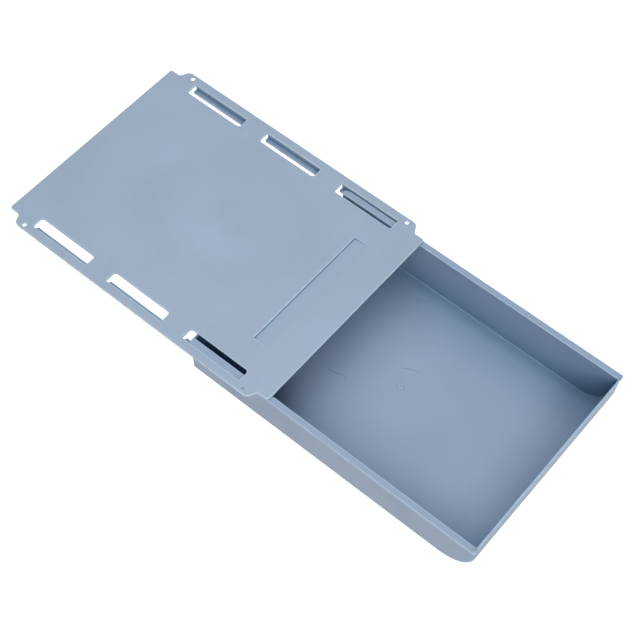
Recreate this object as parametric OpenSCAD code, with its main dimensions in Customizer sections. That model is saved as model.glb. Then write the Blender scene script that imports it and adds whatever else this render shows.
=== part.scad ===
// Under-desk sliding drawer in two mouldings: a flat mounting plate with six
// rail hooks, and an open tray whose side flanges slide on those hooks.
// Frame: origin at the centre of the plate's top face, the face that goes
// against the desk. +X is the way the tray pulls out, +Z is up. Millimetres.

/* [Mounting plate] */
// Length of the plate, along the slide
plate_l = 330; // [312:1:360]
// Thickness of the plate
plate_t = 2; // [1.6:0.1:2.6]
// How far an ear's edge stands outside its screw holes
ear_edge = 5.1; // [4:0.1:9]
// How far each ear stands out past the narrow ends of the plate
ear_out = 10.3; // [9:0.1:11]
// Length of the straight outer edge of the ears
ear_l = 287; // [280:1:290]
// Slope of the shoulder between an ear and a narrow end, in degrees
ear_slope = 65; // [55:1:75]
// Corner radius of an ear's shoulder
ear_r = 7; // [5:0.5:7.5]
// Radius of the cove where the shoulder meets the narrow end
cove_r = 3; // [2:0.5:3.5]
// Corner radius of the narrow ends
end_r = 3; // [1:0.5:4]

/* [Screw holes] */
// Distance between the screw holes along the slide
hole_dx = 279; // [272:1:281]
// Distance between the screw holes across the slide
hole_dy = 240.8; // [240:0.2:246]
// Diameter of the screw holes
hole_d = 4; // [3:0.1:4.5]

/* [Rail hooks] */
// Number of hooks along each side
hook_n = 3; // [2:1:3]
// Distance from one hook to the next
hook_pitch = 96.8; // [80:0.1:98]
// Length of a hook and of the slot moulded above it
hook_l = 69.6; // [50:0.1:70]
// Distance between the hooks' webs, from one side of the tray to the other
rail_w = 232; // [228:0.5:233]
// Headroom between the plate's underside and a hook's ledge
hook_gap = 4.4; // [4:0.1:6]
// Thickness of a hook's web and ledge
hook_t = 2; // [1.5:0.1:2.4]
// Width of the ledge that the tray's flange runs on
ledge_w = 5; // [4.5:0.1:5.4]
// Corner radius of the ledge, seen from above
ledge_r = 2; // [1:0.5:2.5]
// Width of the slot above a hook
slot_w = 12.2; // [11:0.1:13]
// Radius of the two inner corners of a slot
slot_r = 3; // [1:0.5:4]

/* [Pull-out stop] */
// Distance from the plate's front edge to the stop's steep face
stop_back = 52.7; // [48:0.1:60]
// Length of the stop's ramp, along the slide
stop_l = 18.7; // [15:0.1:22]
// Width of the stop
stop_w = 147.6; // [120:0.1:150]
// Depth of the stop's pocket in the plate's top face
stop_d = 1.7; // [1.2:0.1:2]

/* [Tray] */
// Outside length of the tray
tray_l = 331; // [320:1:350]
// Outside depth of the tray
tray_h = 56.8; // [50:0.1:70]
// Thickness of the tray's walls and floor
wall_t = 2; // [1.6:0.1:2.4]
// How far each side wall leans in between its top and the floor
side_draft = 0.9; // [0.4:0.1:1.2]
// Lean of the front wall below its top edge, in degrees
front_lean = 3; // [1:0.5:5]
// Outside radius where the front wall rolls into the floor
front_r = 37; // [30:1:44]
// Outside radius where the rear wall meets the floor
rear_r = 3; // [2.5:0.5:5]
// Bevel where the side walls meet the floor
side_bevel = 2; // [1.4:0.1:3]
// Outside radius of the tray's upright corners
corner_r = 3; // [2.5:0.5:5]
// Width of the rear wall's full-height middle, which meets the stop
tab_w = 160; // [154:1:190]
// How far the rear corners are cut down below the tray's top
notch_d = 10; // [6:0.5:14]
// Length of the cut-down rear corners, along the slide
notch_l = 4; // [3:0.5:6]

/* [Tray flanges] */
// Thickness of the flanges along the tray's sides
flange_t = 2.8; // [2:0.1:3]
// Gap between the plate's underside and the tray's top
top_gap = 0.4; // [0.3:0.05:0.6]
// Side play between a flange and a hook's web
side_gap = 1; // [0.4:0.1:1.2]
// Gap between a side wall and a hook's ledge
ledge_gap = 0.8; // [0.4:0.1:1]
// Radius of a flange's outer rear corner
flange_rear_r = 4.5; // [3:0.5:4.5]
// Radius of the inner rear corner of a flange and of the wall under it
flange_inner_r = 1.5; // [1:0.5:2]
// Radius of a flange's outer front corner
flange_front_r = 1.5; // [1:0.5:3]

/* [Position] */
// How far the tray is pulled out from fully closed
tray_out = 230; // [0:1:270]

/* [Hidden] */
$fn = 96;
// Overshoot of a cut past the surface that it opens
e = 1;

// Plate outline: half-widths, then the tangent points of an ear's shoulder
ear_hw = hole_dy / 2 + ear_edge;
end_hw = ear_hw - ear_out;
shoulder_n = [sin(ear_slope), cos(ear_slope)];
shoulder_u = [cos(ear_slope), -sin(ear_slope)];
shoulder_turn = (ear_r + cove_r) * (1 - cos(ear_slope));
shoulder_l = (ear_out - shoulder_turn) / sin(ear_slope);
ear_c = [ear_l / 2, ear_hw - ear_r];
ear_p = ear_c + ear_r * shoulder_n;
cove_p = ear_p + shoulder_l * shoulder_u;
cove_c = cove_p + cove_r * shoulder_n;

// Hooks and slots
web_in = rail_w / 2;
web_out = web_in + hook_t;
ledge_in = web_in - ledge_w;
ledge_z = -plate_t - hook_gap;
slot_in = web_in - slot_w;
first_hook_x = -(hook_n - 1) / 2 * hook_pitch;

// Stop: its steep face is one skin thickness behind the pocket's
stop_x = plate_l / 2 - stop_back;
stop_skin = 0.8 * plate_t;
stop_z = -plate_t - stop_d;

// Tray, in its own frame: x = 0 at its rear face, z = 0 at its top
flange_hw = web_in - side_gap;
box_hw = ledge_in - ledge_gap;
side_lean = atan(side_draft / tray_h);
// The corners' outline is a hair wider than the leaning side walls, so that
// it rounds the corners and doesn't cut the walls
plan_hw = box_hw + 0.05;
// The rounding of a side wall's rear end starts a little inside its face, so
// that it crosses the leaning face at an angle
wall_end_y = box_hw - wall_t - 0.3;
front_cz = front_r - tray_h;
front_c = [tray_l + (front_cz * sin(front_lean) - front_r) / cos(front_lean), front_cz];
tray_pos = [tray_out - tray_l / 2, 0, -plate_t - top_gap];

// Outside position of the front wall and of a side wall at height z, with the
// wall moved in by t
function front_x(t, z) = tray_l - t / cos(front_lean) + z * tan(front_lean);
function side_y(t, z) = box_hw - t / cos(side_lean) + z * tan(side_lean);

// What rounding takes off a square corner at the origin
module corner_cut(r) {
    if (r > 0) difference() {
        translate([-e, -e]) square(r + e);
        translate([r, r]) circle(r);
    }
}

// Rectangle with its own radius at each corner, anticlockwise from [x0, y0]
module strip(x0, y0, x1, y1, r) {
    difference() {
        translate([x0, y0]) square([x1 - x0, y1 - y0]);
        translate([x0, y0]) corner_cut(r[0]);
        translate([x1, y0]) mirror([1, 0]) corner_cut(r[1]);
        translate([x1, y1]) mirror([1, 0]) mirror([0, 1]) corner_cut(r[2]);
        translate([x0, y1]) mirror([0, 1]) corner_cut(r[3]);
    }
}

// What a fillet of centre c and radius r takes off the corner k of a profile,
// between its tangent points p and q
module profile_cut(c, p, q, k, r) {
    difference() {
        polygon([c, c + 1.5 * (p - c), c + 1.5 * (k - c), c + 1.5 * (q - c)]);
        translate(c) circle(r);
    }
}

// Both sides of what is drawn on the +Y side
module both_sides() {
    children();
    mirror([0, 1, 0]) children();
}

module at_hooks() {
    for (i = [0 : hook_n - 1]) translate([first_hook_x + i * hook_pitch, 0, 0]) children();
}

// Mounting plate

module ear_shoulder() {
    difference() {
        union() {
            translate(ear_c) circle(ear_r);
            polygon([
                ear_c, ear_p, cove_p, cove_c,
                [cove_c[0], end_hw - e], [ear_c[0], end_hw - e]
            ]);
        }
        translate(cove_c) circle(cove_r);
    }
}

module plate_outline() {
    strip(-plate_l / 2, -end_hw, plate_l / 2, end_hw, end_r * [1, 1, 1, 1]);
    square([ear_l, 2 * ear_hw], center = true);
    for (mx = [0, 1]) for (my = [0, 1]) mirror([mx, 0]) mirror([0, my]) ear_shoulder();
}

module slot_outline() {
    strip(-hook_l / 2, slot_in, hook_l / 2, web_in, slot_r * [1, 1, 0, 0]);
}

// One hook on the +Y side: an upright web, and a ledge that turns inwards
module hook() {
    translate([-hook_l / 2, web_in, ledge_z - hook_t])
        cube([hook_l, hook_t, -ledge_z + hook_t - plate_t / 2]);
    translate([0, 0, ledge_z - hook_t]) linear_extrude(hook_t)
        strip(-hook_l / 2, ledge_in, hook_l / 2, web_out, ledge_r * [1, 1, 0, 0]);
}

// Wedge under the plate: steep towards the rear, a ramp towards the front
module stop_wedge() {
    rotate([90, 0, 0]) linear_extrude(stop_w + 2 * stop_skin, center = true) polygon([
        [stop_x - stop_skin, -plate_t / 2], [stop_x - stop_skin, stop_z],
        [stop_x, stop_z], [stop_x + stop_l, -plate_t], [stop_x + stop_l, -plate_t / 2]
    ]);
}

// Pocket in the top face that follows the wedge
module stop_pocket() {
    rotate([90, 0, 0]) linear_extrude(stop_w, center = true) polygon([
        [stop_x, e], [stop_x, -stop_d], [stop_x + stop_l, 0], [stop_x + stop_l, e]
    ]);
}

module screw_holes() {
    for (sx = [-1, 1]) for (sy = [-1, 1])
        translate([sx * hole_dx / 2, sy * hole_dy / 2, -plate_t - e])
            cylinder(d = hole_d, h = plate_t + 2 * e);
}

module mounting_plate() {
    color([0.62, 0.69, 0.79]) difference() {
        union() {
            translate([0, 0, -plate_t]) linear_extrude(plate_t) difference() {
                plate_outline();
                at_hooks() slot_outline();
                mirror([0, 1]) at_hooks() slot_outline();
            }
            both_sides() at_hooks() hook();
            stop_wedge();
        }
        stop_pocket();
        screw_holes();
    }
}

// Drawer tray

// Lengthwise profile of the tray, X across and Z up, with its walls moved in
// by t and its top at height top
module side_profile(t, top) {
    floor_z = t - tray_h;
    rear_c = [rear_r, rear_r - tray_h];
    difference() {
        polygon([[t, top], [t, floor_z], [front_x(t, floor_z), floor_z], [front_x(t, top), top]]);
        profile_cut(
            front_c,
            front_c + (front_r - t) * [cos(front_lean), -sin(front_lean)],
            front_c + (front_r - t) * [0, -1],
            [front_x(t, floor_z), floor_z],
            front_r - t
        );
        profile_cut(
            rear_c, rear_c - [rear_r - t, 0], rear_c - [0, rear_r - t], [t, floor_z], rear_r - t
        );
    }
}

// Cross-section of the tray, Y across and Z up, with its walls moved in by t
// and its top at height top
module cross_section(t, top) {
    floor_z = t - tray_h;
    bevel = side_bevel - (2 - sqrt(2)) * t;
    half = [
        [side_y(t, floor_z) - bevel, floor_z],
        [side_y(t, floor_z + bevel), floor_z + bevel],
        [side_y(t, top), top]
    ];
    polygon([for (p = half) p, for (i = [2 : -1 : 0]) [-half[i][0], half[i][1]]]);
}

// The tray's solid block with its walls moved in by t: t = 0 is its outside,
// t = wall_t its hollow
module tray_block(t, top) {
    intersection() {
        rotate([90, 0, 0]) linear_extrude(2 * box_hw + e, center = true) side_profile(t, top);
        translate([-e, 0, 0])
            rotate([90, 0, 90]) linear_extrude(tray_l + 2 * e) cross_section(t, top);
        translate([0, 0, -tray_h - e]) linear_extrude(tray_h + 3 * e)
            strip(t, t - plan_hw, tray_l - t, plan_hw - t, (corner_r - t) * [1, 1, 1, 1]);
    }
}

// Flange on the +Y side, from the cut-down rear corner to the front face
module flange() {
    translate([0, 0, -flange_t]) linear_extrude(flange_t) strip(
        notch_l, wall_end_y + flange_inner_r, tray_l, flange_hw,
        [0, 0, flange_front_r, flange_rear_r]
    );
}

// Cut-down rear corner on the +Y side, with the inner corner of the side
// wall's end rounded
module rear_notch() {
    translate([0, 0, -notch_d]) linear_extrude(notch_d + e) {
        translate([-e, tab_w / 2]) square([notch_l + e, flange_hw - tab_w / 2]);
        translate([notch_l, wall_end_y]) corner_cut(flange_inner_r);
    }
}

module drawer_tray() {
    color([0.58, 0.66, 0.76]) translate(tray_pos) {
        difference() {
            tray_block(0, 0);
            tray_block(wall_t, e);
            both_sides() rear_notch();
        }
        both_sides() flange();
    }
}

mounting_plate();
drawer_tray();
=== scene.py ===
import math

import bmesh
import bpy
from mathutils import Matrix, Vector


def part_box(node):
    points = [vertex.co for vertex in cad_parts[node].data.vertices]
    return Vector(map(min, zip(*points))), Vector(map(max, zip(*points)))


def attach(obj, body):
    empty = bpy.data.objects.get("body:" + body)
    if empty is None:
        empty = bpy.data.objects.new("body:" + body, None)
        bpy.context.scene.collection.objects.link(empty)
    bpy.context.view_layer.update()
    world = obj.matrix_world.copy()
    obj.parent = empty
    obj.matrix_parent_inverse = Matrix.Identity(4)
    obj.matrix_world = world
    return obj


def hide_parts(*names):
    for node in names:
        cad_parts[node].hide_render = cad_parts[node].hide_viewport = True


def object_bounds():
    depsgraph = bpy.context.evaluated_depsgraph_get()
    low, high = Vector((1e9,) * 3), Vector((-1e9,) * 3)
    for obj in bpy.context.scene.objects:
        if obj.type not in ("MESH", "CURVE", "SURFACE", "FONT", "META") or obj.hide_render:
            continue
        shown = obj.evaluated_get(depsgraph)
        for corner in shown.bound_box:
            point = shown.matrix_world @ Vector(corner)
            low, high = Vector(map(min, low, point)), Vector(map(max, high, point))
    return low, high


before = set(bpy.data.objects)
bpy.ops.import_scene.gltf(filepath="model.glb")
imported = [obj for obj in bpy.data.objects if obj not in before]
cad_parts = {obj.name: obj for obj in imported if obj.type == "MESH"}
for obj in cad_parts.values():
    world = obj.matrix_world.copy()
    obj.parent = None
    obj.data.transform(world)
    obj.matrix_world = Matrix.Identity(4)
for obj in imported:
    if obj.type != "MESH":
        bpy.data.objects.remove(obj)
CAD_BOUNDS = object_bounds()
PLATE_LO, PLATE_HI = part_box("mounting_plate")
TRAY_LO, TRAY_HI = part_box("drawer_tray")

MM = 0.001

# Mounting plate, in millimetres: what its box doesn't give
PLATE_T = 2.0
EAR_OUT = 10.3
EAR_L = 287.0
EAR_SLOPE = 65.0
EAR_R = 7.0
COVE_R = 3.0
END_R = 3.0
HOLE_DX = 279.0
HOLE_DY = 240.8
HOLE_R = 2.0

# Hooks under the plate and the slots over them
HOOK_PITCH = 96.8
HOOK_L = 69.6
HOOK_T = 2.0
HOOK_GAP = 4.4
HOOK_CORNER_R = 0.6
WEB_IN = 116.0
WEB_LIFT = 0.8
LEDGE_W = 5.0
LEDGE_R = 2.0
SLOT_W = 12.2
SLOT_R = 3.0

# Wedge that stops the tray: a ramp sunk in the plate's top face and, one skin
# thickness lower, standing out of its underside
STOP_X = 112.3
STOP_L = 18.7
STOP_HW = 73.8
STOP_D = 1.7
STOP_SKIN = 1.6
STOP_BLEND = 0.3
STOP_MARGIN = 1.5

# Drawer tray, in millimetres
WALL_T = 2.0
SIDE_DRAFT = 0.9
FRONT_LEAN = 3.0
FRONT_R = 37.0
REAR_R = 3.0
SIDE_R = 3.0
TAB_HW = 80.0
NOTCH_D = 10.0
NOTCH_L = 4.0
FLANGE_T = 2.8
FLANGE_FRONT_R = 1.5
FLANGE_REAR_R = 4.5
WALL_END_R = 1.5
WALL_END_IN = 0.3
BOX_HW = 110.2

PLATE_L = (PLATE_HI.x - PLATE_LO.x) / MM
EAR_HW = PLATE_HI.y / MM
TRAY_L = (TRAY_HI.x - TRAY_LO.x) / MM
TRAY_H = (TRAY_HI.z - TRAY_LO.z) / MM
FLANGE_HW = TRAY_HI.y / MM

# Roundings of the moulded edges
EDGE_R = 0.5
RIM_R = 0.5
RIM_CUT = 6.0
SHARP = 40.0

# How far a cutting shape reaches past the face that it cuts
CLEAR = 1.0

# Straight pieces in each rounding
CORNER_STEPS = 8
EAR_STEPS = 10
HOLE_STEPS = 32
EDGE_STEPS = 4
FILLET_STEPS = 6
ROLL_STEPS = 28
BEVEL_STEPS = 3


# Plane outlines: lists of 2-D vectors, anticlockwise round material and
# clockwise round a hole, so that the material is always on the left

def arc(c, r, a0, a1, n):
    """Points on an arc, from angle a0 to a1 in degrees."""
    out = []
    for i in range(n + 1):
        a = math.radians(a0 + (a1 - a0) * i / n)
        out.append(Vector((c[0] + r * math.cos(a), c[1] + r * math.sin(a))))
    return out


def strip(x0, y0, x1, y1, rs):
    """Rectangle with its own corner radii, anticlockwise from (x0, y0)."""
    out = []
    corners = (
        (x0, y0, 1, 1, 180), (x1, y0, -1, 1, 270), (x1, y1, -1, -1, 0), (x0, y1, 1, -1, 90),
    )
    for (x, y, sx, sy, a), r in zip(corners, rs):
        if r:
            out += arc((x + sx * r, y + sy * r), r, a, a + 90, CORNER_STEPS)
        else:
            out.append(Vector((x, y)))
    return out


def mirror_y(loop):
    return [Vector((p.x, -p.y)) for p in reversed(loop)]


def shift(loop, dx):
    return [p + Vector((dx, 0.0)) for p in loop]


def inset(loop, d):
    """The outline moved into the material by d."""
    out = []
    for i, p in enumerate(loop):
        u = (p - loop[i - 1]).normalized()
        v = (loop[(i + 1) % len(loop)] - p).normalized()
        nu, nv = Vector((-u.y, u.x)), Vector((-v.y, v.x))
        out.append(p + d * (nu + nv) / (1 + nu.dot(nv)))
    return out


# Meshes in millimetres, turned into metres when they become objects

def quarter_turn(steps):
    return [math.radians(90 * k / steps) for k in range(steps + 1)]


def ring_edges(bm, ring):
    """The edges between neighbours in a closed ring of vertices."""
    return [bm.edges.get((v, ring[(i + 1) % len(ring)])) for i, v in enumerate(ring)]


def grid_patch(bm, xs, ys, height):
    """Height field over a rectangle. Returns its boundary edges."""
    rows = [[bm.verts.new((x, y, height(x, y))) for x in xs] for y in ys]
    for low, high in zip(rows, rows[1:]):
        for i in range(len(xs) - 1):
            bm.faces.new((low[i], low[i + 1], high[i + 1], high[i]))
    ring = rows[0] + [r[-1] for r in rows[1:]]
    ring += rows[-1][-2::-1] + [r[0] for r in rows[-2:0:-1]]
    return ring_edges(bm, ring)


def slab(bm, loops, z0, z1, r0, r1, under=(), over=()):
    """Flat plate from z0 to z1 with its outlines' edges rounded by r0 and r1.
    under and over are the patches (xs, ys, height) set in its two faces."""
    turn = quarter_turn(EDGE_STEPS)
    levels = [(0, z0)]
    if r0:
        levels = [(r0 * (1 - math.sin(a)), z0 + r0 * (1 - math.cos(a))) for a in turn]
    if r1:
        levels += [(r1 * (1 - math.sin(a)), z1 - r1 * (1 - math.cos(a))) for a in reversed(turn)]
    else:
        levels.append((0, z1))
    low, high = [], []
    for loop in loops:
        rings = [[bm.verts.new((p.x, p.y, z)) for p in inset(loop, d)] for d, z in levels]
        n = len(loop)
        for a, b in zip(rings, rings[1:]):
            for i in range(n):
                j = (i + 1) % n
                bm.faces.new((a[i], a[j], b[j], b[i]))
        low += ring_edges(bm, rings[0])
        high += ring_edges(bm, rings[-1])
    for patch in under:
        low += grid_patch(bm, *patch)
    for patch in over:
        high += grid_patch(bm, *patch)
    bmesh.ops.triangle_fill(bm, use_beauty=True, edges=low, normal=(0, 0, -1))
    bmesh.ops.triangle_fill(bm, use_beauty=True, edges=high, normal=(0, 0, 1))


def tray_profile(t, top):
    """Lengthwise profile of the tray, walls moved in by t, in (x, z)."""
    lean = math.radians(FRONT_LEAN)
    cz = FRONT_R - TRAY_H
    cx = TRAY_L + (cz * math.sin(lean) - FRONT_R) / math.cos(lean)
    out = [Vector((t, top))]
    out += arc((REAR_R, REAR_R - TRAY_H), REAR_R - t, 180, 270, CORNER_STEPS)
    out += arc((cx, cz), FRONT_R - t, 270, 360 - FRONT_LEAN, ROLL_STEPS)
    out.append(Vector((TRAY_L - t / math.cos(lean) + top * math.tan(lean), top)))
    return out


def tray_block(bm, t, top, r):
    """The tray's solid block, walls moved in by t, its edges except the top
    ones rounded by r."""
    hw = BOX_HW - t
    turn = quarter_turn(FILLET_STEPS)
    stations = [(-hw + r * (1 - math.cos(a)), r * (1 - math.sin(a))) for a in turn]
    stations += [(-y, d) for y, d in reversed(stations)]
    rings = []
    for y, d in stations:
        rings.append([
            bm.verts.new((p.x, y * (1 + p.y * SIDE_DRAFT / TRAY_H / hw), p.y))
            for p in tray_profile(t + d, top)
        ])
    for a, b in zip(rings, rings[1:]):
        for i in range(len(a) - 1):
            bm.faces.new((a[i], a[i + 1], b[i + 1], b[i]))
    bm.faces.new([r[0] for r in rings] + [r[-1] for r in reversed(rings)])
    bm.faces.new(rings[0])
    bm.faces.new(list(reversed(rings[-1])))


def torus(bm, x, y, z, big, small):
    """Ring of radius big and thickness radius small about (x, y, z)."""
    round_big, round_small = 40, 10
    rows = []
    for i in range(round_big):
        u = 2 * math.pi * i / round_big
        row = []
        for j in range(round_small):
            v = 2 * math.pi * j / round_small
            r = big + small * math.cos(v)
            place = (x + r * math.cos(u), y + r * math.sin(u), z + small * math.sin(v))
            row.append(bm.verts.new(place))
        rows.append(row)
    for i, a in enumerate(rows):
        b = rows[(i + 1) % round_big]
        for j in range(round_small):
            k = (j + 1) % round_small
            bm.faces.new((a[j], b[j], b[k], a[k]))


def link(name, data):
    obj = bpy.data.objects.new(name, data)
    bpy.context.scene.collection.objects.link(obj)
    return obj


def to_object(name, bm):
    bmesh.ops.recalc_face_normals(bm, faces=bm.faces)
    bmesh.ops.scale(bm, verts=bm.verts, vec=(MM, MM, MM))
    mesh = bpy.data.meshes.new(name)
    bm.to_mesh(mesh)
    bm.free()
    return link(name, mesh)


def combine(obj, other, operation):
    """Exact boolean of obj with other, which is then deleted."""
    m = obj.modifiers.new("combine", "BOOLEAN")
    m.operation = operation
    m.solver = "EXACT"
    m.use_self = True
    m.object = other
    bpy.context.view_layer.update()
    result = obj.evaluated_get(bpy.context.evaluated_depsgraph_get())
    mesh = bpy.data.meshes.new_from_object(result)
    obj.modifiers.clear()
    obj.data = mesh
    bpy.data.objects.remove(other)


# Mounting plate

def plate_outline():
    slope = math.radians(EAR_SLOPE)
    n = Vector((math.sin(slope), math.cos(slope)))
    u = Vector((n.y, -n.x))
    end_hw = EAR_HW - EAR_OUT
    turn = (EAR_R + COVE_R) * (1 - n.y)
    ear_c = Vector((EAR_L / 2, EAR_HW - EAR_R))
    cove_c = ear_c + (EAR_R + COVE_R) * n + (EAR_OUT - turn) / n.x * u
    tilt = math.degrees(math.atan2(n.y, n.x))
    quarter = arc((PLATE_L / 2 - END_R, end_hw - END_R), END_R, 0, 90, CORNER_STEPS)
    quarter += arc(cove_c, COVE_R, 270, 180 + tilt, CORNER_STEPS)
    quarter += arc(ear_c, EAR_R, tilt, 90, EAR_STEPS)
    half = quarter + [Vector((-p.x, p.y)) for p in reversed(quarter)]
    return half + [-p for p in half]


def fade(t):
    """Smooth step from 0 at t = 0 to 1 at t = 1."""
    t = min(max(t, 0.0), 1.0)
    return t * t * (3 - 2 * t)


def stop_patch(x0, hw, z):
    """Ramp with a steep face at x0 and steep sides at hw, as a patch."""
    x1 = x0 + STOP_L
    across = [STOP_BLEND * (k / 6 - 0.5) for k in range(7)]
    xs = [x0 - STOP_MARGIN] + [x0 + d for d in across]
    xs += [x0 + STOP_L * k / 8 for k in range(1, 9)] + [x1 + STOP_MARGIN]
    half = [hw + STOP_MARGIN] + [hw - d for d in across]
    half += [hw * k / 6 for k in (5, 4, 3, 2, 1)]
    ys = [-y for y in half] + [0.0] + half[::-1]

    def height(x, y):
        ramp = min(max((x1 - x) / STOP_L, 0.0), 1.0)
        steep = fade((x - x0) / STOP_BLEND + 0.5)
        sides = fade((hw - abs(y)) / STOP_BLEND + 0.5)
        return z - STOP_D * ramp * steep * sides

    return xs, ys, height


def build_plate():
    hook_xs = (-HOOK_PITCH, 0.0, HOOK_PITCH)
    loops = [plate_outline()]
    slot = strip(-HOOK_L / 2, WEB_IN - SLOT_W, HOOK_L / 2, WEB_IN, (SLOT_R, SLOT_R, 0, 0))
    for hx in hook_xs:
        far = shift(slot, hx)
        loops += [far[::-1], mirror_y(far)[::-1]]
    for sx in (-1, 1):
        for sy in (-1, 1):
            centre = (sx * HOLE_DX / 2, sy * HOLE_DY / 2)
            loops.append(arc(centre, HOLE_R, 360, 0, HOLE_STEPS)[:-1])
    bm = bmesh.new()
    slab(
        bm, loops, -PLATE_T, 0.0, EDGE_R, EDGE_R,
        under=[stop_patch(STOP_X - STOP_SKIN, STOP_HW + STOP_SKIN, -PLATE_T)],
        over=[stop_patch(STOP_X, STOP_HW, 0.0)],
    )
    plate = to_object("mounting_plate_shell", bm)

    # Each hook: a web down from the plate, and a ledge on its foot
    ledge_z = -PLATE_T - HOOK_GAP
    foot_z = ledge_z - HOOK_T
    x, out_y, r = HOOK_L / 2, WEB_IN + HOOK_T, HOOK_CORNER_R
    ledge = strip(-x, WEB_IN - LEDGE_W, x, out_y, (LEDGE_R, LEDGE_R, r, r))
    web = strip(-x, WEB_IN, x, out_y, (0, 0, r, r))
    bm = bmesh.new()
    for hx in hook_xs:
        foot, upright = shift(ledge, hx), shift(web, hx)
        for a, b in ((foot, upright), (mirror_y(foot), mirror_y(upright))):
            slab(bm, [a], foot_z, ledge_z, EDGE_R, EDGE_R)
            slab(bm, [b], foot_z + WEB_LIFT, -PLATE_T / 2, 0, 0)
    combine(plate, to_object("hooks", bm), "UNION")
    return plate


def build_tray():
    """The tray in its own frame: rear face at x = 0, top at z = 0."""
    bm = bmesh.new()
    tray_block(bm, 0.0, 0.0, SIDE_R)
    tray = to_object("drawer_tray_shell", bm)
    bm = bmesh.new()
    tray_block(bm, WALL_T, CLEAR, SIDE_R - WALL_T)
    combine(tray, to_object("inside", bm), "DIFFERENCE")

    # Cut-down rear corners, each with the inner corner of the wall's end rounded
    end_y = BOX_HW - WALL_T - WALL_END_IN
    r = WALL_END_R
    notch = [Vector((-CLEAR, TAB_HW)), Vector((NOTCH_L, TAB_HW))]
    notch += [Vector((NOTCH_L, end_y - CLEAR)), Vector((NOTCH_L + r, end_y - CLEAR))]
    notch += arc((NOTCH_L + r, end_y + r), r, 270, 180, CORNER_STEPS)
    notch += [Vector((NOTCH_L, FLANGE_HW + CLEAR)), Vector((-CLEAR, FLANGE_HW + CLEAR))]
    bm = bmesh.new()
    for outline in (notch, mirror_y(notch)):
        slab(bm, [outline], -NOTCH_D, CLEAR, 0, 0)
    combine(tray, to_object("notches", bm), "DIFFERENCE")

    # Flanges along the sides, their front ends leaning like the front wall
    flange = strip(NOTCH_L, end_y + r, TRAY_L, FLANGE_HW, (0, 0, FLANGE_FRONT_R, FLANGE_REAR_R))
    bm = bmesh.new()
    for outline in (flange, mirror_y(flange)):
        slab(bm, [outline], -FLANGE_T, 0.0, 0, 0)
    lean = math.tan(math.radians(FRONT_LEAN))
    for v in bm.verts:
        if v.co.x > TRAY_L / 2:
            v.co.x += v.co.z * lean
    combine(tray, to_object("flanges", bm), "UNION")
    return tray


def moulding_marks(obj, marks, z):
    """Gate and ejector marks: ring grooves in the flat face at height z."""
    bm = bmesh.new()
    for x, y, big, small in marks:
        torus(bm, x, y, z + 0.5 * small, big, small)
    combine(obj, to_object("marks", bm), "DIFFERENCE")


def round_edges(obj, wanted, cuts=()):
    """Rounds the sharp edges whose two ends, in mm, both pass the test. Cuts
    are planes, as point and normal, that first split the faces they cross."""
    bm = bmesh.new()
    bm.from_mesh(obj.data)
    bmesh.ops.remove_doubles(bm, verts=bm.verts, dist=1e-6)
    for at, normal in cuts:
        bmesh.ops.bisect_plane(
            bm, geom=bm.verts[:] + bm.edges[:] + bm.faces[:], dist=1e-6,
            plane_co=Vector(at) * MM, plane_no=normal,
        )
    edges = [
        e for e in bm.edges
        if len(e.link_faces) == 2 and e.calc_face_angle(0) > math.radians(SHARP)
        and all(wanted(v.co / MM) for v in e.verts)
    ]
    bmesh.ops.bevel(
        bm, geom=edges, offset=RIM_R * MM, offset_type="OFFSET", segments=BEVEL_STEPS,
        profile=0.5, affect="EDGES", clamp_overlap=False,
    )
    bm.to_mesh(obj.data)
    bm.free()


def finish_mesh(obj):
    """Smooth shading that keeps the flat faces flat."""
    bm = bmesh.new()
    bm.from_mesh(obj.data)
    bmesh.ops.remove_doubles(bm, verts=bm.verts, dist=1e-6)
    for f in bm.faces:
        f.smooth = True
    bm.to_mesh(obj.data)
    bm.free()
    obj.data.set_sharp_from_angle(angle=math.radians(SHARP))
    normals = obj.modifiers.new("flat_faces", "WEIGHTED_NORMAL")
    normals.keep_sharp = True
    normals.weight = 80


# Materials

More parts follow.
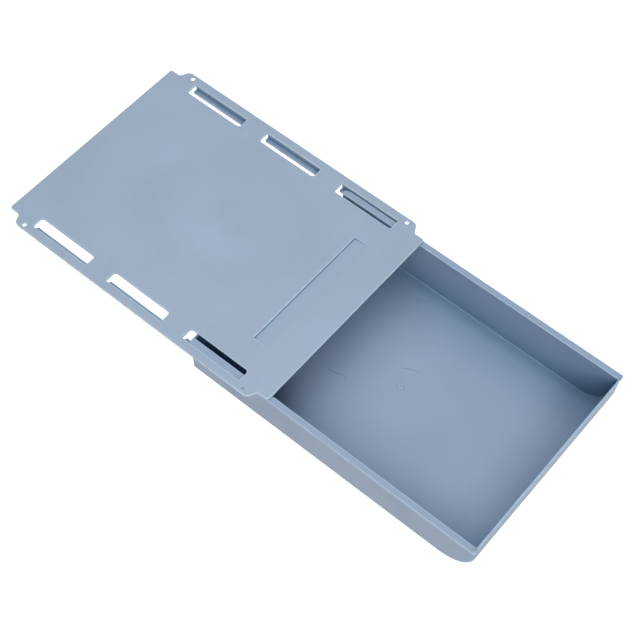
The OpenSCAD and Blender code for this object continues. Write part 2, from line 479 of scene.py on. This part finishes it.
class Shader:
    """Short-hand for building a node tree."""

    def __init__(self, material):
        self.tree = material.node_tree
        self.bsdf = self.tree.nodes["Principled BSDF"]
        self.place = self.add("ShaderNodeTexCoord").outputs["Object"]

    def add(self, kind, settings=None, **sockets):
        n = self.tree.nodes.new(kind)
        for k, v in (settings or {}).items():
            setattr(n, k, v)
        for k, v in sockets.items():
            self.put(n.inputs[k.replace("_", " ")], v)
        return n

    def put(self, socket, v):
        if isinstance(v, bpy.types.NodeSocket):
            self.tree.links.new(v, socket)
        else:
            socket.default_value = v

    def math(self, op, a, b=0.0, c=0.0):
        n = self.add("ShaderNodeMath", {"operation": op})
        for i, v in enumerate((a, b, c)):
            self.put(n.inputs[i], v)
        return n.outputs[0]

    def span(self, v, lo, hi, to_lo, to_hi):
        """Smooth step of v, from to_lo at lo to to_hi at hi."""
        n = self.add("ShaderNodeMapRange", {"interpolation_type": "SMOOTHSTEP"})
        values = {"Value": v, "From Min": lo, "From Max": hi, "To Min": to_lo, "To Max": to_hi}
        for k, x in values.items():
            self.put(n.inputs[k], x)
        return n.outputs[0]

    def noise(self, scale, detail):
        n = self.add(
            "ShaderNodeTexNoise", Vector=self.place, Scale=scale, Detail=detail, Roughness=0.5,
        )
        return n.outputs["Fac"]

    def centred(self, value, amount, on):
        """A 0 to 1 value as a swing of amount about on."""
        return self.math("MULTIPLY_ADD", self.math("SUBTRACT", value, 0.5), amount, on)

    def moved(self, x, y, angle=0.0):
        """Coordinates with their origin at (x, y) mm, turned by angle degrees."""
        n = self.add("ShaderNodeMapping", {"vector_type": "TEXTURE"}, Vector=self.place)
        n.inputs["Location"].default_value = (x * MM, y * MM, 0)
        n.inputs["Rotation"].default_value = (0, 0, math.radians(angle))
        return n.outputs[0]

    def blend(self, factor, a, b, mode="MIX"):
        n = self.add("ShaderNodeMix", {"data_type": "RGBA", "blend_type": mode})
        self.put(n.inputs[0], factor)
        self.put(n.inputs[6], a)
        self.put(n.inputs[7], b)
        return n.outputs[2]

    def openness(self, reach, inside=False):
        """How little of the piece itself lies within reach, mm: 1 on a flat
        face, less in a corner, or, from inside, beside an outer edge."""
        n = self.add(
            "ShaderNodeAmbientOcclusion", {"samples": 8, "only_local": True, "inside": inside},
            Distance=reach * MM,
        )
        return n.outputs["AO"]


# Tone of the plastic: flow rings and a halo round the gate, with the distances
# in metres at which they fade, clouds and specks
RING_SWING = 0.075
RING_FADE = 0.13
RING_LEAST = 0.25
HALO_R = 0.035
HALO = 0.06
CLOUD_SWING = 0.20
SPECK_SWING = 0.05
# Paler outer edges, partly wear and partly painted highlight: reach in mm, and brightness
EDGE_REACH = 1.3
EDGE_WEAR_AND_HIGHLIGHT_TINT = 2.0
# Painted shade in corners: reach in mm, how open they count at the least, and the shade's tint
CORNER_SHADE_REACH = 60.0
CORNER_SHADE_LEAST = 0.36
CORNER_SHADE_TINT = (0.08, 0.32, 0.44)
# Roughness from and to, depth of the bump in mm and its two parts, and gloss
ROUGH = (0.40, 0.50)
RELIEF = 0.4
GRAIN = 0.03
WARP = 0.35
PLASTIC_IOR = 1.46
# Scuffs: cover, brightness, added roughness, depth, and waviness in mm
SCUFF_COVER = 0.7
SCUFF_TINT = 0.55
SCUFF_ROUGH = 0.15
SCUFF_DEPTH = 0.15
SCUFF_WAVE = 1.2


def scratch_mask(sh, x0, y0, x1, y1, width):
    """1 along a slightly wavy line from (x0, y0) to (x1, y1), mm, else 0."""
    length = math.hypot(x1 - x0, y1 - y0)
    turn = math.degrees(math.atan2(y1 - y0, x1 - x0))
    at = sh.moved((x0 + x1) / 2, (y0 + y1) / 2, turn)
    part = sh.add("ShaderNodeSeparateXYZ", Vector=at)
    wave = sh.span(sh.noise(60, 1.0), 0.3, 0.7, -SCUFF_WAVE * MM, SCUFF_WAVE * MM)
    across = sh.math("ABSOLUTE", sh.math("ADD", part.outputs["Y"], wave))
    line = sh.span(across, 0.0, width * MM, 1.0, 0.0)
    along = sh.math("ABSOLUTE", part.outputs["X"])
    ends = sh.span(along, length * MM * 0.3, length * MM * 0.5, 1.0, 0.0)
    return sh.math("MULTIPLY", line, ends)


def tinted(base, amount):
    """The colour made lighter or darker, as a shader colour."""
    return (*[min(1, amount * c) for c in base], 1)


def satin_plastic(name, base, gate, scuffs=(), above=0.0):
    """Moulded satin plastic: faint flow rings round its gate, soft mottling, fine grain,
    paler edges of wear and painted highlight, painted shade in corners, and
    scuffs where given, on the faces higher than above."""
    m = bpy.data.materials.new(name)
    m.use_nodes = True
    sh = Shader(m)
    rings = sh.add(
        "ShaderNodeTexWave", {"wave_type": "RINGS", "rings_direction": "Z"},
        Vector=sh.moved(*gate), Scale=4.2, Distortion=5.0, Detail=3.0, Detail_Scale=1.2,
    ).outputs["Fac"]
    away = sh.add(
        "ShaderNodeVectorMath", {"operation": "LENGTH"}, Vector=sh.moved(*gate),
    ).outputs["Value"]
    rings = sh.math("SUBTRACT", rings, 0.5)
    rings = sh.math("MULTIPLY", rings, sh.span(away, 0.0, RING_FADE, 1.0, RING_LEAST))
    tone = sh.centred(sh.noise(9.0, 4.0), CLOUD_SWING, 1.0)
    tone = sh.math("MULTIPLY_ADD", rings, RING_SWING, tone)
    tone = sh.math("ADD", tone, sh.span(away, 0.0, HALO_R, HALO, 0.0))
    tone = sh.centred(sh.noise(900, 2.0), SPECK_SWING, tone)
    colour = sh.blend(1.0, (*base, 1), tone, "MULTIPLY")

    # Outer edges made paler: partly wear, partly a painted highlight along them
    worn_and_highlit = sh.span(sh.openness(EDGE_REACH, inside=True), 0.60, 0.98, 1.0, 0.0)
    worn_and_highlit = sh.math("MULTIPLY", worn_and_highlit, sh.span(sh.noise(45, 3.0), 0.3, 0.6, 0.7, 1.0))
    colour = sh.blend(worn_and_highlit, colour, tinted(base, EDGE_WEAR_AND_HIGHLIGHT_TINT))
    # Painted shade: colour darkened and tinted blue where the piece's own faces close round it
    lit = sh.span(sh.openness(CORNER_SHADE_REACH), 0.28, 1.0, CORNER_SHADE_LEAST, 1.0)
    shade = sh.blend(lit, (*CORNER_SHADE_TINT, 1), (1, 1, 1, 1))
    colour = sh.blend(1.0, colour, shade, "MULTIPLY")

    gloss = sh.span(sh.noise(30, 3.0), 0.3, 0.7, *ROUGH)
    grain = sh.math("MULTIPLY", sh.noise(1500, 2.0), GRAIN)
    height = sh.math("ADD", sh.math("MULTIPLY", sh.noise(13, 2.0), WARP), grain)
    if scuffs:
        scuff = 0.0
        for s in scuffs:
            scuff = sh.math("MAXIMUM", scuff, scratch_mask(sh, *s))
        here = sh.add("ShaderNodeSeparateXYZ", Vector=sh.place).outputs["Z"]
        scuff = sh.math("MULTIPLY", scuff, sh.math("GREATER_THAN", here, above))
        cover = sh.math("MULTIPLY", scuff, SCUFF_COVER)
        colour = sh.blend(cover, colour, tinted(base, SCUFF_TINT))
        gloss = sh.math("MULTIPLY_ADD", scuff, SCUFF_ROUGH, gloss)
        height = sh.math("SUBTRACT", height, sh.math("MULTIPLY", scuff, SCUFF_DEPTH))
    bump = sh.add("ShaderNodeBump", Strength=0.6, Distance=RELIEF * MM, Height=height).outputs[0]
    sh.put(sh.bsdf.inputs["Base Color"], colour)
    sh.put(sh.bsdf.inputs["Roughness"], gloss)
    sh.put(sh.bsdf.inputs["Normal"], bump)
    sh.bsdf.inputs["IOR"].default_value = PLASTIC_IOR
    return m


# Plate and tray are one plastic; the tray's darker, bluer colour is painted shade
PLATE_COLOUR = (0.355, 0.452, 0.594)
TRAY_SHADED_COLOUR = (0.301, 0.40, 0.552)
PLATE_GATE = (3.0, 2.0)
TRAY_GATE = (TRAY_L / 2, 0.0)
# Gate and ejector marks: x, y, radius and groove size
PLATE_MARKS = [(sx * 51, sy * 100.5, 2.6, 0.4) for sx in (-1, 1) for sy in (-1, 1)]
PLATE_MARKS += [(143, sy * 109, 3.2, 0.4) for sy in (-1, 1)]
PLATE_MARKS += [(*PLATE_GATE, 3.4, 0.4), (*PLATE_GATE, 0.9, 0.4)]
TRAY_MARKS = [(*TRAY_GATE, 3.8, 1.1), (*TRAY_GATE, 1.3, 0.9)]
# Scuffs on the tray's floor, in its own frame: from x, y to x, y, and width
TRAY_SCUFFS = (
    (153, 16.5, 173, 26, 0.7), (166, 17, 170, 22, 0.5), (99, -28, 122, -24.4, 0.7),
    (116.6, 86.5, 121.2, 94.6, 0.7), (118.8, 84, 125.3, 92, 0.6), (125, 89, 129, 93, 0.5),
)
# Planes that split the tray's rim into its sides and its front
TRAY_CUTS = (
    ((TRAY_L - RIM_CUT, 0, 0), (1, 0, 0)),
    ((0, BOX_HW - RIM_CUT, 0), (0, 1, 0)),
    ((0, RIM_CUT - BOX_HW, 0), (0, 1, 0)),
)

plate = build_plate()
moulding_marks(plate, PLATE_MARKS, 0.0)
finish_mesh(plate)
plate.data.materials.clear()
plate.data.materials.append(satin_plastic("plate_satin", PLATE_COLOUR, PLATE_GATE))
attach(plate, "plate")
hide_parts("mounting_plate")

tray = build_tray()
moulding_marks(tray, TRAY_MARKS, WALL_T - TRAY_H)
round_edges(tray, lambda p: p.z > -0.01, TRAY_CUTS)
round_edges(tray, lambda p: abs(p.z + FLANGE_T) < 0.01 and abs(p.y) > BOX_HW + 1)
finish_mesh(tray)
tray.data.transform(Matrix.Translation((TRAY_LO.x, 0, TRAY_HI.z)))
tray_x = TRAY_LO.x / MM
tray.data.materials.clear()
tray.data.materials.append(satin_plastic(
    "tray_satin", TRAY_SHADED_COLOUR, (TRAY_GATE[0] + tray_x, TRAY_GATE[1]),
    [(x0 + tray_x, y0, x1 + tray_x, y1, w) for x0, y0, x1, y1, w in TRAY_SCUFFS],
    TRAY_LO.z + 0.5 * WALL_T * MM,
))
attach(tray, "tray")
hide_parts("drawer_tray")

# Floor: pale and even, and no source of light or shadow for the object
FLOOR_SIZE = 60.0
FLOOR_COLOUR = (0.85, 0.85, 0.85, 1)
FLOOR_GLOW = 1.0

bm = bmesh.new()
bmesh.ops.create_grid(bm, x_segments=1, y_segments=1, size=FLOOR_SIZE)
floor_mesh = bpy.data.meshes.new("floor")
bm.to_mesh(floor_mesh)
bm.free()
floor = link("floor", floor_mesh)
floor.location = (0, 0, TRAY_LO.z)
floor_white = bpy.data.materials.new("floor_white")
floor_white.use_nodes = True
sockets = floor_white.node_tree.nodes["Principled BSDF"].inputs
sockets["Base Color"].default_value = FLOOR_COLOUR
sockets["Roughness"].default_value = 1.0
sockets["Specular IOR Level"].default_value = 0.0
sockets["Emission Color"].default_value = (1, 1, 1, 1)
sockets["Emission Strength"].default_value = FLOOR_GLOW
floor_mesh.materials.append(floor_white)
floor.visible_diffuse = False
floor.visible_glossy = False
floor.visible_shadow = False

# Light from all round: brightness by height, from straight down (-1) to up (1)
SURROUND = ((-1.0, 0.84), (-0.6, 1.75), (-0.25, 0.08), (-0.02, 0.05), (0.1, 0.03))
# Softboxes: name, azimuth, elevation, distance, size, watts
BOXES = (
    ("key", -45, 35, 1.9, 1.2, 18.2), ("over", 0, 88, 1.9, 1.2, 10.2),
    ("rear_high", 180, 60, 1.9, 1.2, 7.0), ("far", 90, 35, 1.9, 1.2, 5.4),
    ("sheen", 128, 50, 1.9, 2.4, 8.3),
)

CENTRE = (CAD_BOUNDS[0] + CAD_BOUNDS[1]) / 2


def direction(azimuth, elevation):
    """Unit vector away from the object, from angles in degrees."""
    az, el = math.radians(azimuth), math.radians(elevation)
    return Vector((math.cos(el) * math.cos(az), math.cos(el) * math.sin(az), math.sin(el)))


def surround(stops):
    """World light that depends on height alone."""
    world = bpy.data.worlds.new("studio")
    bpy.context.scene.world = world
    world.use_nodes = True
    tree = world.node_tree
    back = tree.nodes["Background"]
    coord = tree.nodes.new("ShaderNodeTexCoord")
    split = tree.nodes.new("ShaderNodeSeparateXYZ")
    half = tree.nodes.new("ShaderNodeMath")
    half.operation = "MULTIPLY_ADD"
    half.inputs[1].default_value = 0.5
    half.inputs[2].default_value = 0.5
    ramp = tree.nodes.new("ShaderNodeValToRGB")
    marks = ramp.color_ramp.elements
    while len(marks) < len(stops):
        marks.new(0.5)
    top = max(v for _, v in stops)
    for mark, (z, v) in zip(marks, stops):
        mark.position = 0.5 + 0.5 * z
        mark.color = (v / top, v / top, v / top, 1)
    back.inputs["Strength"].default_value = top
    tree.links.new(coord.outputs["Generated"], split.inputs[0])
    tree.links.new(split.outputs["Z"], half.inputs[0])
    tree.links.new(half.outputs[0], ramp.inputs[0])
    tree.links.new(ramp.outputs[0], back.inputs["Color"])


def softbox(name, azimuth, elevation, distance, size, watts):
    """Square area light, aimed at the middle of the object."""
    light = bpy.data.lights.new(name, "AREA")
    light.size = size
    light.energy = watts
    away = direction(azimuth, elevation)
    obj = link(name, light)
    obj.location = CENTRE + distance * away
    obj.rotation_euler = away.to_track_quat("Z", "Y").to_euler()


surround(SURROUND)
for box in BOXES:
    softbox(*box)

# Camera: angles in degrees, and metres from the middle of the object
VIEW_AZIMUTH = -51.600
VIEW_ELEVATION = 57.901
VIEW_ROLL = 1.662
VIEW_DISTANCE = 1.46866
VIEW_RIGHT = 0.00901
VIEW_UP = -0.01133
LENS = 87.264
SENSOR = 36.0

cam_data = bpy.data.cameras.new("camera")
cam_data.lens = LENS
cam_data.sensor_width = SENSOR
cam = link("camera", cam_data)
back = direction(VIEW_AZIMUTH, VIEW_ELEVATION)
level = Vector((0, 0, 1)).cross(back).normalized()
right = Matrix.Rotation(math.radians(VIEW_ROLL), 3, back) @ level
up = back.cross(right)
at = CENTRE + VIEW_DISTANCE * back + VIEW_RIGHT * right + VIEW_UP * up
cam.matrix_world = Matrix((
    (right.x, up.x, back.x, at.x),
    (right.y, up.y, back.y, at.y),
    (right.z, up.z, back.z, at.z),
    (0, 0, 0, 1),
))
bpy.context.scene.camera = cam
bpy.context.scene.view_settings.view_transform = "Standard"
